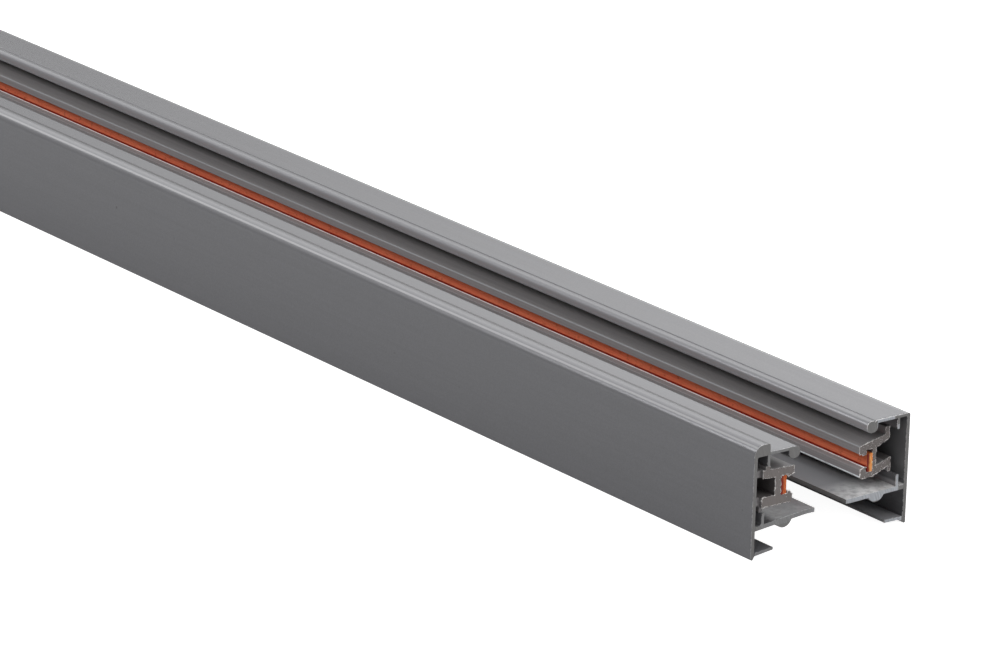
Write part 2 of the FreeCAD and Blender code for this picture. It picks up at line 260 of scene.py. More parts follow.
def lay_along_x(tree, geometry):
    """Turn what was swept upwards so that it runs along the track."""
    position = place(tree, "GeometryNodeInputPosition").outputs[0]
    across, up, along = place(tree, "ShaderNodeSeparateXYZ", {0: position}).outputs
    turned = place(tree, "ShaderNodeCombineXYZ", {"X": along, "Y": across, "Z": up})
    feeds = {"Geometry": geometry, "Position": turned.outputs[0]}
    return place(tree, "GeometryNodeSetPosition", feeds).outputs[0]


def shade_smooth(tree, geometry):
    """Smooth shading that stops at edges sharper than those within a rounding."""
    smooth = place(tree, "GeometryNodeSetShadeSmooth", {"Geometry": geometry}, domain="FACE")
    bend = place(tree, "GeometryNodeInputMeshEdgeAngle")
    most_bend = radians(32)
    feeds = {0: bend.outputs[0], 1: most_bend}
    sharp = place(tree, "FunctionNodeCompare", feeds, operation="GREATER_THAN")
    feeds = {
        "Geometry": smooth.outputs[0],
        "Selection": sharp.outputs[0],
        "Shade Smooth": False,
    }
    return place(tree, "GeometryNodeSetShadeSmooth", feeds, domain="EDGE").outputs[0]


def prism_through_web(tree, outline):
    """Upright cutter with the given flat outline that reaches past the web's two sides."""
    below_web, above_web = 4.6 * MM, 8.4 * MM
    feeds = {"Start": (0, 0, below_web), "End": (0, 0, above_web)}
    path = place(tree, "GeometryNodeCurvePrimitiveLine", feeds)
    feeds = {"Curve": path.outputs[0], "Profile Curve": outline, "Fill Caps": True}
    return place(tree, "GeometryNodeCurveToMesh", feeds).outputs[0]


def at_both_ends(tree, geometry, away_from_middle):
    """The geometry moved by one distance towards either end of the track."""
    copies = []
    for side in (1, -1):
        along = reckon(tree, "MULTIPLY", away_from_middle, side)
        away = place(tree, "ShaderNodeCombineXYZ", {"X": along})
        feeds = {"Geometry": geometry, "Translation": away.outputs[0]}
        copies.append(place(tree, "GeometryNodeTransform", feeds).outputs[0])
    return copies


def keep_inside(tree, burrs, given):
    """Take away burrs that stand out past the channel's outer faces or hang in its slot."""
    position = place(tree, "GeometryNodeInputPosition").outputs[0]
    _, across, up = place(tree, "ShaderNodeSeparateXYZ", {0: position}).outputs
    aside = reckon(tree, "ABSOLUTE", across)
    half_slot = reckon(tree, "MULTIPLY", given["Slot Width"], 0.5)
    reasons = [
        reckon(tree, "GREATER_THAN", aside, given["Half Width"]),
        reckon(tree, "GREATER_THAN", up, given["Height"]),
        reckon(tree, "LESS_THAN", up, 0.0),
        reckon(tree, "LESS_THAN", aside, half_slot),
    ]
    unwanted = 0.0
    for reason in reasons:
        unwanted = reckon(tree, "MAXIMUM", unwanted, reason)
    burr = place(tree, "GeometryNodeInputMeshIsland").outputs[0]
    feeds = {0: unwanted, "Group Index": burr}
    counted = place(tree, "GeometryNodeAccumulateField", feeds, data_type="FLOAT")
    feeds = {0: counted.outputs["Total"], 1: 0.5}
    chosen = place(tree, "FunctionNodeCompare", feeds, operation="GREATER_THAN")
    feeds = {"Geometry": burrs, "Selection": chosen.outputs[0]}
    return place(tree, "GeometryNodeDeleteGeometry", feeds, domain="POINT").outputs[0]


def channel_tree():
    """The swept section with the slots and screw holes taken out of its web."""
    inputs = [
        ("Start", "Float"),
        ("End", "Float"),
        ("Slot Width", "Float"),
        ("Slot Depth", "Float"),
        ("Hole Radius", "Float"),
        ("Hole Place", "Float"),
        ("Half Width", "Float"),
        ("Height", "Float"),
        ("Burr Thickness", "Float"),
        ("Finish", "Material"),
    ]
    tree, given = new_shape_tree("channel", inputs)
    outline = rounded_outline(tree, given["Geometry"])
    swept = lay_along_x(tree, swept_bar(tree, outline, given["Start"], given["End"]))
    twice_depth = reckon(tree, "MULTIPLY", given["Slot Depth"], 2)
    feeds = {"Width": twice_depth, "Height": given["Slot Width"]}
    square_slot = place(tree, "GeometryNodeCurvePrimitiveQuadrilateral", feeds)

    # A hair under half the width, so that the two roundings of a slot's end stay apart.
    slot_round = reckon(tree, "MULTIPLY", given["Slot Width"], 0.4999)
    feeds = {
        "Curve": square_slot.outputs[0],
        "Radius": slot_round,
        "Count": 20,
        "Limit Radius": True,
    }
    slot = place(tree, "GeometryNodeFilletCurve", feeds, mode="POLY").outputs[0]
    slots = at_both_ends(tree, prism_through_web(tree, slot), given["End"])
    feeds = {"Resolution": 48, "Radius": given["Hole Radius"]}
    hole = place(tree, "GeometryNodeCurvePrimitiveCircle", feeds).outputs[0]
    holes = at_both_ends(tree, prism_through_web(tree, hole), given["Hole Place"])
    cut = place(tree, "GeometryNodeMeshBoolean", operation="DIFFERENCE", solver="EXACT")
    tree.links.new(swept, cut.inputs["Mesh 1"])
    for cutter in slots + holes:
        tree.links.new(cutter, cut.inputs["Mesh 2"])

    # The burrs stand far enough in from the ends for the longest to stay within them.
    thickness = given["Burr Thickness"]
    inset = reckon(tree, "MULTIPLY", thickness, 1.6)
    back_end = reckon(tree, "ADD", given["Start"], inset)
    front_end = reckon(tree, "SUBTRACT", given["End"], inset)
    burr_share = 0.35
    burrs = []
    for seed, end in ((3, back_end), (13, front_end)):
        slivers = burrs_round_end(tree, outline, end, thickness, burr_share, seed)
        burrs.append(lay_along_x(tree, slivers))
    inside = keep_inside(tree, joined(tree, burrs), given)
    whole = joined(tree, [shade_smooth(tree, cut.outputs[0]), inside])
    finish_shape_tree(tree, whole, given["Finish"])
    return tree


def new_effect(name, inputs, outputs):
    """Empty shader node group with named inputs and outputs."""
    tree = bpy.data.node_groups.new(name, "ShaderNodeTree")
    for label, kind, value in inputs:
        kind = "NodeSocket" + kind
        made = tree.interface.new_socket(label, in_out="INPUT", socket_type=kind)
        if value is not None:
            made.default_value = value
    for label, kind in outputs:
        kind = "NodeSocket" + kind
        tree.interface.new_socket(label, in_out="OUTPUT", socket_type=kind)
    source = tree.nodes.new("NodeGroupInput")
    sink = tree.nodes.new("NodeGroupOutput")
    return tree, source.outputs, sink.inputs


def spread(tree, value, low, high, to_low=0.0, to_high=1.0):
    """Map Range node, clamped."""
    feeds = {
        "Value": value,
        "From Min": low,
        "From Max": high,
        "To Min": to_low,
        "To Max": to_high,
    }
    return place(tree, "ShaderNodeMapRange", feeds).outputs[0]


def noise(tree, where, scale, detail=2.0, roughness=0.5):
    """Noise with about as many blotches to a unit of its coordinates as its scale says."""
    feeds = {"Vector": where, "Scale": scale, "Detail": detail, "Roughness": roughness}
    return place(tree, "ShaderNodeTexNoise", feeds).outputs[0]


def overlap(tree, *masks):
    """Where all of several masks lie on one another."""
    whole = masks[0]
    for mask in masks[1:]:
        whole = reckon(tree, "MULTIPLY", whole, mask)
    return whole


def fine_grain_effect():
    """Speckle and orange peel of a sprayed or moulded surface, and a few dark nicks."""
    inputs = [
        ("Vector", "Vector", None),
        ("Speckle Size", "Float", 0.25 * MM),
        ("Peel Size", "Float", 1.1 * MM),
    ]
    outputs = [("Speckle", "Float"), ("Height", "Float"), ("Nicks", "Float")]
    tree, given, out = new_effect("fine grain", inputs, outputs)
    speckle_scale = reckon(tree, "DIVIDE", 1.0, given["Speckle Size"])
    peel_scale = reckon(tree, "DIVIDE", 1.0, given["Peel Size"])
    speckle = noise(tree, given["Vector"], speckle_scale, 3.0, 0.6)
    peel = noise(tree, given["Vector"], peel_scale, 1.0, 0.4)
    tree.links.new(spread(tree, speckle, 0.3, 0.7), out["Speckle"])
    tree.links.new(reckon(tree, "MULTIPLY_ADD", speckle, 0.35, peel), out["Height"])
    nicks_to_a_metre, patches_to_a_metre = 260.0, 90.0
    feeds = {"Vector": given["Vector"], "Scale": nicks_to_a_metre}
    dust = place(tree, "ShaderNodeTexVoronoi", feeds)
    spot = spread(tree, dust.outputs["Distance"], 0.05, 0.09, 1.0, 0.0)
    rare = spread(tree, noise(tree, given["Vector"], patches_to_a_metre), 0.62, 0.66)
    tree.links.new(overlap(tree, spot, rare), out["Nicks"])
    return tree


def long_streaks_effect():
    """Lines that a die or a rolling mill leaves along a bar."""
    inputs = [
        ("Vector", "Vector", None),
        ("Line Width", "Float", 0.3 * MM),
        ("Line Length", "Float", 40 * MM),
    ]
    tree, given, out = new_effect("long streaks", inputs, [("Streaks", "Float")])
    along, across, up = place(tree, "ShaderNodeSeparateXYZ", {0: given["Vector"]}).outputs
    feeds = {
        "X": reckon(tree, "DIVIDE", along, given["Line Length"]),
        "Y": reckon(tree, "DIVIDE", across, given["Line Width"]),
        "Z": reckon(tree, "DIVIDE", up, given["Line Width"]),
    }
    stretched = place(tree, "ShaderNodeCombineXYZ", feeds).outputs[0]
    streaks = noise(tree, stretched, 1.0, 3.0, 0.6)
    tree.links.new(spread(tree, streaks, 0.28, 0.72), out["Streaks"])
    return tree


def sawn_ends_effect():
    """Where a bar was sawn: its end faces, the chipped rim beside them, the saw's marks."""
    inputs = [
        ("Vector", "Vector", None),
        ("Facing", "Vector", None),
        ("Back End", "Float", -0.25),
        ("Front End", "Float", 0.25),
        ("Chip Depth", "Float", 0.25 * MM),
    ]
    outputs = [("Cut", "Float"), ("Rim", "Float"), ("Marks", "Float")]
    tree, given, out = new_effect("sawn ends", inputs, outputs)
    along, across, up = place(tree, "ShaderNodeSeparateXYZ", {0: given["Vector"]}).outputs
    to_front = reckon(tree, "SUBTRACT", given["Front End"], along)
    to_back = reckon(tree, "SUBTRACT", along, given["Back End"])
    inward = reckon(tree, "MINIMUM", to_front, to_back)
    facing = place(tree, "ShaderNodeSeparateXYZ", {0: given["Facing"]}).outputs[0]
    endwise = spread(tree, reckon(tree, "ABSOLUTE", facing), 0.8, 0.9)
    at_end = spread(tree, inward, 0.01 * MM, 0.03 * MM, 1.0, 0.0)
    cut_face = overlap(tree, endwise, at_end)
    tree.links.new(cut_face, out["Cut"])

    # The rim is chipped to an uneven depth.
    ragged = spread(tree, noise(tree, given["Vector"], 1700.0, 3.0, 0.6), 0.35, 0.75)
    reach = reckon(tree, "MULTIPLY", ragged, given["Chip Depth"])
    chip = reckon(tree, "DIVIDE", inward, reckon(tree, "MAXIMUM", reach, 0.002 * MM))
    beside = reckon(tree, "SUBTRACT", 1.0, cut_face)
    tree.links.new(overlap(tree, spread(tree, chip, 0.7, 1.0, 1.0, 0.0), beside), out["Rim"])

    # The saw's teeth leave fine lines that slant one way and waver a little.
    slope, lines_to_a_metre, waver = 0.35, 5200.0, (0, 300, 300)
    slanted = reckon(tree, "MULTIPLY_ADD", up, slope, across)
    crossing = reckon(tree, "MULTIPLY", slanted, lines_to_a_metre)
    lines = place(tree, "ShaderNodeCombineXYZ", {"X": crossing})
    feeds = {0: given["Vector"], 1: waver, 2: lines.outputs[0]}
    toothed = place(tree, "ShaderNodeVectorMath", feeds, operation="MULTIPLY_ADD")
    marks = noise(tree, toothed.outputs[0], 1.0, 3.0)
    tree.links.new(spread(tree, marks, 0.3, 0.7), out["Marks"])
    return tree


def edge_line_effect():
    """Thin broken line along one edge of a section, such as a pale fin with painted
    highlight, or painted shade along a groove's bottom.
    """
    inputs = [
        ("Vector", "Vector", None),
        ("Across", "Float", 0.0),
        ("Up", "Float", 0.0),
        ("Width", "Float", 0.15 * MM),
    ]
    tree, given, out = new_effect("edge line", inputs, [("Line", "Float")])
    _, across, up = place(tree, "ShaderNodeSeparateXYZ", {0: given["Vector"]}).outputs
    beside = reckon(tree, "SUBTRACT", across, given["Across"])
    above = reckon(tree, "SUBTRACT", up, given["Up"])
    above_squared = reckon(tree, "POWER", above, 2.0)
    far = reckon(tree, "SQRT", reckon(tree, "MULTIPLY_ADD", beside, beside, above_squared))
    near = reckon(tree, "SUBTRACT", 1.0, reckon(tree, "DIVIDE", far, given["Width"]))
    broken = spread(tree, noise(tree, given["Vector"], 900.0), 0.3, 0.45, 0.6, 1.0)
    tree.links.new(overlap(tree, spread(tree, near, 0.0, 0.5), broken), out["Line"])
    return tree


def colour(red, green, blue):
    """Colour as it looks on a screen, 0 to 255, in the linear form that shaders take."""
    parts = []
    for part in (red / 255, green / 255, blue / 255):
        parts.append(part / 12.92 if part <= 0.04045 else ((part + 0.055) / 1.055) ** 2.4)
    return (*parts, 1)


def blend(tree, share, first, second):
    """Mix two colours, each a value or an output."""
    node = tree.nodes.new("ShaderNodeMix")
    node.data_type = "RGBA"
    sockets = (node.inputs[0], node.inputs[6], node.inputs[7])
    for socket, value in zip(sockets, (share, first, second)):
        if isinstance(value, bpy.types.NodeSocket):
            tree.links.new(value, socket)
        else:
            socket.default_value = value
    return node.outputs[2]


def blend_heights(tree, share, first, second):
    """Mix two heights by a mask."""
    feeds = {0: share, 2: first, 3: second}
    return place(tree, "ShaderNodeMix", feeds, data_type="FLOAT").outputs[0]


def new_material(name):
    """Material with a Principled BSDF, and the object's own coordinates to pattern it by."""
    material = bpy.data.materials.new(name)
    material.use_nodes = True
    tree = material.node_tree
    shader = tree.nodes["Principled BSDF"]
    where = tree.nodes.new("ShaderNodeTexCoord").outputs["Object"]
    return material, tree, shader, where


def surface_facing(tree):
    """Direction that the surface faces."""
    return place(tree, "ShaderNodeNewGeometry").outputs["Normal"]


def effect(tree, group, where, values=None):
    """An effect's node group in a material, with this material's own values."""
    feeds = {"Vector": where, **(values or {})}
    node = tree.nodes.new("ShaderNodeGroup")
    node.node_tree = group
    for name, value in feeds.items():
        if isinstance(value, bpy.types.NodeSocket):
            tree.links.new(value, node.inputs[name])
        else:
            node.inputs[name].default_value = value
    return node.outputs


FINE_GRAIN = fine_grain_effect()
LONG_STREAKS = long_streaks_effect()
SAWN_ENDS = sawn_ends_effect()
EDGE_LINE = edge_line_effect()

# The lips, the web, the ribs that hold the strips and the flanges at the walls' feet,
# whose sawn ends shine. Each has its middle and half its width across the channel, and
# its middle and half its height upwards, and stands on both sides of the channel.
THIN_PARTS = [
    (12.0 * MM, 2.0 * MM, 19.5 * MM, 0.9 * MM),
    (9.5 * MM, 6.0 * MM, 6.3 * MM, 0.85 * MM),
    (14.6 * MM, 0.6 * MM, 17.6 * MM, 1.1 * MM),
    (15.15 * MM, 0.3 * MM, 8.2 * MM, 1.15 * MM),
    (14.7 * MM, 1.9 * MM, 1.1 * MM, 0.5 * MM),
]

# The walls' inner faces and the noses, across from the middle of the channel, and the
# web, the strips' undersides and the noses, upwards from its feet.
WALL_FACE = 16.8 * MM
NOSE_ACROSS = 8.1 * MM
WEB_UP = 6.6 * MM
STRIP_UNDERSIDE = 8.1 * MM
NOSE_UP = 19.2 * MM
SCUFF_AND_LIGHT_REACH = 8 * MM

# Painted shade in dark lines along the channel: at the bottom of the groove that marks the
# level side, and at the bead's inner edge. Each has its place across and upwards, its width
# and its grey.
PAINTED_SHADE_LINES = [
    (9.5 * MM, 20.05 * MM, 0.34 * MM, 96),
    (-14.75 * MM, 20.7 * MM, 0.38 * MM, 68),
]


def painted_aluminium(back_end, front_end, slot_width, slot_depth):
    """Satin grey paint with bare sawn ends and scuff marks near them, and with painted light
    and painted shade in and on the channel.
    """
    material, tree, shader, where = new_material("painted_aluminium")
    sizes = {"Speckle Size": 0.22 * MM, "Peel Size": 0.9 * MM}
    grain = effect(tree, FINE_GRAIN, where, sizes)
    sizes = {"Line Width": 0.7 * MM, "Line Length": 90 * MM}
    streaks = effect(tree, LONG_STREAKS, where, sizes)
    sizes = {"Back End": back_end, "Front End": front_end, "Chip Depth": 0.34 * MM}
    ends = effect(tree, SAWN_ENDS, where, {"Facing": surface_facing(tree), **sizes})
    along, across, up = place(tree, "ShaderNodeSeparateXYZ", {0: where}).outputs
    facing_up = place(tree, "ShaderNodeSeparateXYZ", {0: surface_facing(tree)}).outputs[2]
    endwards = reckon(tree, "ABSOLUTE", along)
    aside = reckon(tree, "ABSOLUTE", across)

    def from_bead_side(at_bead_side, at_level_side):
        """A share that changes from the bead's side of the channel to the level side."""
        return spread(tree, across, -6 * MM, 6 * MM, at_bead_side, at_level_side)

    plain = blend(tree, grain["Speckle"], colour(114, 114, 117), colour(122, 122, 125))
    lines = spread(tree, streaks["Streaks"], 0.0, 1.0, 0.0, 0.35)
    lined = blend(tree, lines, plain, colour(109, 109, 112))
    nicks = spread(tree, grain["Nicks"], 0.0, 1.0, 0.0, 0.6)
    nicked = blend(tree, nicks, lined, colour(80, 80, 82))

    # Painted light inside the channel: the paint is made paler low down and on the walls'
    # inner faces.
    low_down, not_so_low = STRIP_UNDERSIDE - 0.2 * MM, STRIP_UNDERSIDE + 0.2 * MM
    below_strips = spread(tree, up, low_down, not_so_low, 1.0, 0.0)
    off_wall, at_wall = WALL_FACE - 0.3 * MM, WALL_FACE - 0.1 * MM
    between_walls = spread(tree, aside, off_wall, at_wall, 1.0, 0.0)
    lit_low_inside = overlap(tree, below_strips, between_walls)
    lit_low_level_side = overlap(tree, lit_low_inside, from_bead_side(0.0, 1.0))
    light_painted_low = blend(tree, lit_low_level_side, nicked, colour(150, 150, 153))
    wall_faces = reckon(tree, "COMPARE", aside, WALL_FACE, 0.15 * MM)
    above_web = reckon(tree, "GREATER_THAN", up, STRIP_UNDERSIDE)
    inner_walls = overlap(tree, wall_faces, above_web)
    light_painted_inside = blend(tree, inner_walls, light_painted_low, colour(146, 146, 148))

    # The web's upper side is pale towards each end, partly scuff marks where the feed is
    # pushed in and partly painted light near the open end. It is smudged dark on the bead's
    # side.
    near_end = spread(tree, endwards, front_end - SCUFF_AND_LIGHT_REACH, front_end - 1 * MM)
    height_of_web = reckon(tree, "COMPARE", up, WEB_UP, 0.9 * MM)
    on_web = overlap(tree, height_of_web, spread(tree, facing_up, 0.4, 0.8))
    blotches = spread(tree, noise(tree, where, 900.0, 5.0, 0.6), 0.3, 0.55, 0.3, 1.0)
    level_side = spread(tree, across, -8 * MM, 9 * MM, 0.06, 1.0)
    scuffs_and_end_light = overlap(tree, near_end, on_web, overlap(tree, blotches, level_side))
    scuff_and_light_share = spread(tree, scuffs_and_end_light, 0.0, 1.0, 0.0, 0.95)
    scuffed_and_lit_web = blend(tree, scuff_and_light_share, light_painted_inside, colour(236, 236, 236))
    smudges = spread(tree, noise(tree, where, 420.0, 4.0, 0.6), 0.38, 0.56, 0.15, 0.9)
    bead_side = spread(tree, across, -11 * MM, -6 * MM, 1.0, 0.0)
    smudged = overlap(tree, smudges, overlap(tree, on_web, bead_side))
    smudges_and_line_shade = blend(tree, smudged, scuffed_and_lit_web, colour(76, 76, 78))
    # Painted shade in thin dark lines along the groove and the bead's inner edge.
    for line_across, line_up, width, grey in PAINTED_SHADE_LINES:
        sizes = {"Across": line_across, "Up": line_up, "Width": width}
        line = effect(tree, EDGE_LINE, where, sizes)
        smudges_and_line_shade = blend(tree, line["Line"], smudges_and_line_shade, colour(grey, grey, grey + 2))

    # Painted light on the fronts of both noses: the paint is made a little paler there.
    beside_mouth = reckon(tree, "COMPARE", aside, NOSE_ACROSS, 0.8 * MM)
    height_of_noses = reckon(tree, "COMPARE", up, NOSE_UP, 1.0 * MM)
    on_noses = overlap(tree, beside_mouth, height_of_noses)
    painted_nose_light = overlap(tree, on_noses, spread(tree, facing_up, -0.2, 0.75, 1.0, 0.0))
    nose_lit = blend(tree, painted_nose_light, smudges_and_line_shade, colour(176, 176, 179))

    # Bare metal shows on the sawn ends, on the rim beside them and inside the slot.
    slot_side, slot_end = slot_width / 2, front_end - slot_depth
    within_width = spread(tree, aside, slot_side + 0.01 * MM, slot_side + 0.06 * MM, 1.0, 0.0)
    within_depth = spread(tree, endwards, slot_end - 0.2 * MM, slot_end)
    in_slot = overlap(tree, within_width, within_depth)
    bare = reckon(tree, "MAXIMUM", ends["Cut"], in_slot)
    matt = blend(tree, ends["Marks"], colour(122, 121, 121), colour(136, 135, 134))
    shining = blend(tree, ends["Marks"], colour(166, 169, 174), colour(196, 200, 206))
    polished = 0.0
    for middle, half_width, middle_up, half_height in THIN_PARTS:
        beside = reckon(tree, "COMPARE", aside, middle, half_width)
        level = reckon(tree, "COMPARE", up, middle_up, half_height)
        polished = reckon(tree, "MAXIMUM", polished, overlap(tree, beside, level))
    shine = overlap(tree, polished, from_bead_side(0.15, 1.0), ends["Cut"])
    metal = blend(tree, shine, matt, shining)
    off_walls = spread(tree, aside, WALL_FACE, WALL_FACE + 0.2 * MM, 1.0, 0.4)
    rim = overlap(tree, ends["Rim"], off_walls, from_bead_side(0.45, 0.9))
    chipped = blend(tree, rim, nose_lit, colour(232, 231, 232))
    tree.links.new(blend(tree, bare, chipped, metal), shader.inputs["Base Color"])

    inside = reckon(tree, "MAXIMUM", scuffs_and_end_light, lit_low_inside)
    dull = reckon(tree, "MAXIMUM", inside, ends["Rim"])
    tree.links.new(spread(tree, dull, 0.0, 1.0, 0.4, 0.0), shader.inputs["Metallic"])
    satin = spread(tree, grain["Speckle"], 0.0, 1.0, 0.24, 0.27)
    tree.links.new(satin, shader.inputs["Roughness"])
    height = blend_heights(tree, bare, grain["Height"], ends["Marks"])
    feeds = {"Strength": 0.07, "Distance": 0.02 * MM, "Height": height}
    bump = place(tree, "ShaderNodeBump", feeds)
    tree.links.new(bump.outputs[0], shader.inputs["Normal"])
    return material


SLOT_WIDTH = 7.15 * MM
SLOT_DEPTH = 22 * MM

# Between a screw hole and a slot, where nothing is cut out of the section.
BETWEEN_CUTS = 200 * MM

low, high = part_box("track_profile")
paint = painted_aluminium(low[0], high[0], SLOT_WIDTH, SLOT_DEPTH)
section = cross_section(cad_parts["track_profile"], BETWEEN_CUTS)
channel = outline_object(
    "channel",
    section,
    edge_round=0.07 * MM,
    arc_round=6 * MM,
    longest_arc_side=1.1 * MM,
)
shape(
    channel,
    channel_tree(),
    {
        "Start": low[0],
        "End": high[0],
        "Slot Width": SLOT_WIDTH,
        "Slot Depth": SLOT_DEPTH,
        "Hole Radius": 2.25 * MM,
        "Hole Place": 150 * MM,
        "Half Width": high[1],
        "Height": high[2],
        "Burr Thickness": 0.08 * MM,
        "Finish": paint,
    },
)
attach(channel, "root")
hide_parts("track_profile")


# Insulators: two strips of grey rigid plastic, extruded, sawn a little shorter than the
# channel and pushed in from its end. Each holds its conductor between two flanges and is
# trapped by the ribs under the lip and on the web.

def strip_tree():
    """A swept strip with burrs round its sawn ends and crumbs stuck to them."""
    inputs = [
        ("Start", "Float"),
        ("End", "Float"),
        ("Burr Thickness", "Float"),
        ("Burr Share", "Float"),
        ("Crumbs", "Float"),
        ("Crumb Size", "Float"),
        ("Finish", "Material"),
    ]
    tree, given = new_shape_tree("strip", inputs)
    outline = rounded_outline(tree, given["Geometry"])
    bar = swept_bar(tree, outline, given["Start"], given["End"])
    thickness, share = given["Burr Thickness"], given["Burr Share"]
    burrs = [
        burrs_round_end(tree, outline, end, thickness, share, seed)
        for seed, end in ((5, given["Start"]), (15, given["End"]))
    ]
    facing = place(tree, "GeometryNodeInputNormal").outputs[0]
    facing_along = place(tree, "ShaderNodeSeparateXYZ", {0: facing}).outputs[2]
    feeds = {0: reckon(tree, "ABSOLUTE", facing_along), 1: 0.9}
    endwise = place(tree, "FunctionNodeCompare", feeds, operation="GREATER_THAN")
    feeds = {
        "Mesh": bar,
        "Selection": endwise.outputs[0],
        "Density": given["Crumbs"],
        "Seed": 7,
    }
    spots = place(tree, "GeometryNodeDistributePointsOnFaces", feeds)
    feeds = {"Radius": given["Crumb Size"], "Subdivisions": 1}
    crumb = place(tree, "GeometryNodeMeshIcoSphere", feeds)
    no_turn, most_turn = (0,) * 3, (6,) * 3
    smallest, largest = (0.3,) * 3, (1.0,) * 3
    feeds = {
        "Points": spots.outputs[0],
        "Instance": crumb.outputs[0],
        "Rotation": random_value(tree, "FLOAT_VECTOR", no_turn, most_turn, 9),
        "Scale": random_value(tree, "FLOAT_VECTOR", smallest, largest, 10),
    }
    crumbs = place(tree, "GeometryNodeInstanceOnPoints", feeds)
    loose = place(tree, "GeometryNodeRealizeInstances", {0: crumbs.outputs[0]})
    parts = [shade_smooth(tree, bar), joined(tree, burrs), loose.outputs[0]]
    laid = lay_along_x(tree, joined(tree, parts))
    finish_shape_tree(tree, laid, given["Finish"])
    return tree


def grey_plastic(name, back_end, front_end, flash_and_highlights, hollow):
    """Dull grey plastic with die lines, pale edge lines of fin and painted highlight, painted
    shade in its hollow and rough sawn ends.
    """
    material, tree, shader, where = new_material(name)
    sizes = {"Speckle Size": 0.3 * MM, "Peel Size": 2.0 * MM}
    grain = effect(tree, FINE_GRAIN, where, sizes)
    sizes = {"Line Width": 0.25 * MM, "Line Length": 60 * MM}
    streaks = effect(tree, LONG_STREAKS, where, sizes)
    sizes = {"Back End": back_end, "Front End": front_end, "Chip Depth": 0.2 * MM}
    ends = effect(tree, SAWN_ENDS, where, {"Facing": surface_facing(tree), **sizes})
    plain = blend(tree, streaks["Streaks"], colour(130, 127, 128), colour(146, 143, 144))
    dots = spread(tree, grain["Speckle"], 0.0, 1.0, 0.0, 0.3)
    dotted = blend(tree, dots, plain, colour(118, 115, 115))

    # The hollow behind the web is painted dark as shade.
    back_of_web, bottom, top = hollow
    _, across, up = place(tree, "ShaderNodeSeparateXYZ", {0: where}).outputs
    aside = reckon(tree, "ABSOLUTE", across)
    behind_web = spread(tree, aside, back_of_web - 0.1 * MM, back_of_web - 0.05 * MM)
    half_height = (top - bottom) / 2 + 0.05 * MM
    height_of_hollow = reckon(tree, "COMPARE", up, (bottom + top) / 2, half_height)
    painted_hollow_shade = overlap(tree, behind_web, height_of_hollow)
    lined = blend(tree, painted_hollow_shade, dotted, colour(96, 92, 92))
    # Pale lines along the flange tips: partly flash, partly painted highlight.
    for line_across, line_up, width, pale in flash_and_highlights:
        sizes = {"Across": line_across, "Up": line_up, "Width": width}
        line = effect(tree, EDGE_LINE, where, sizes)
        lined = blend(tree, line["Line"], lined, colour(pale - 14, pale - 5, pale))

    rough_rim = blend(tree, ends["Rim"], lined, colour(250, 247, 245))
    sawn = blend(tree, ends["Marks"], colour(121, 115, 113), colour(131, 125, 123))
    tree.links.new(blend(tree, ends["Cut"], rough_rim, sawn), shader.inputs["Base Color"])
    matt = spread(tree, ends["Cut"], 0.0, 1.0, 0.45, 0.8)
    tree.links.new(matt, shader.inputs["Roughness"])
    height = blend_heights(tree, ends["Cut"], streaks["Streaks"], ends["Marks"])
    feeds = {"Strength": 0.3, "Distance": 0.02 * MM, "Height": height}
    bump = place(tree, "ShaderNodeBump", feeds)
    tree.links.new(bump.outputs[0], shader.inputs["Normal"])
    return material


STRIP_TREE = strip_tree()

# Pale lines along the tips of the flanges, partly flash and partly painted highlight, each
# with its place across and upwards, its width and its paleness.
FLASH_AND_HIGHLIGHTS = {
    "bead": [
        (-9.45 * MM, 11.18 * MM, 0.24 * MM, 240),
        (-8.7 * MM, 9.55 * MM, 0.18 * MM, 240),
        (-8.45 * MM, 15.5 * MM, 0.08 * MM, 190),
    ],
    "flush": [
        (9.5 * MM, 11.05 * MM, 0.26 * MM, 255),
        (8.5 * MM, 9.42 * MM, 0.2 * MM, 255),
        (8.3 * MM, 15.02 * MM, 0.08 * MM, 148),
    ],
}

# The hollow behind each strip's web is painted dark as shade. It runs from the back of the
# web outwards, between these two heights.
SHADED_HOLLOW = {
    "bead": (12.55 * MM, 10.95 * MM, 14.25 * MM),
    "flush": (12.0 * MM, 11.6 * MM, 14.25 * MM),
}
CRUMBS_PER_SQUARE_METRE = {"bead": 0.3e6, "flush": 4e6}
AWAY_FROM_ENDS = 100 * MM

# The bead side strip's foot and the shoulders that reach the wall broke off short of the
# sawn end. Their outlines are in millimetres.
FOOT_TOP = 9.15 * MM
SET_BACK = 0.7 * MM
BROKEN_PARTS = [
    ((-15.4, 8.15), (-14.8, 8.15), (-14.8, 9.3), (-15.4, 9.3)),
    ((-16.75, 9.4), (-15.3, 9.4), (-15.3, 10.95), (-16.75, 10.95)),
    ((-16.75, 14.6), (-15.2, 14.5), (-15.2, 15.8), (-16.75, 15.7)),
]


def without_foot(points):
    """The outline with everything below the foot's top pressed up to it."""
    raised = [Vector((point.x, max(point.y, FOOT_TOP))) for point in points]
    apart = 0.01 * MM
    kept = [point for i, point in enumerate(raised) if (point - raised[i - 1]).length > apart]
    return real_corners(kept)


def weld_into(target, others):
    """Add other objects' meshes to one object's mesh and delete them."""
    together = bmesh.new()
    together.from_mesh(target.data)
    for other in others:
        together.from_mesh(other.data)
        bpy.data.objects.remove(other)
    together.to_mesh(target.data)
    together.free()


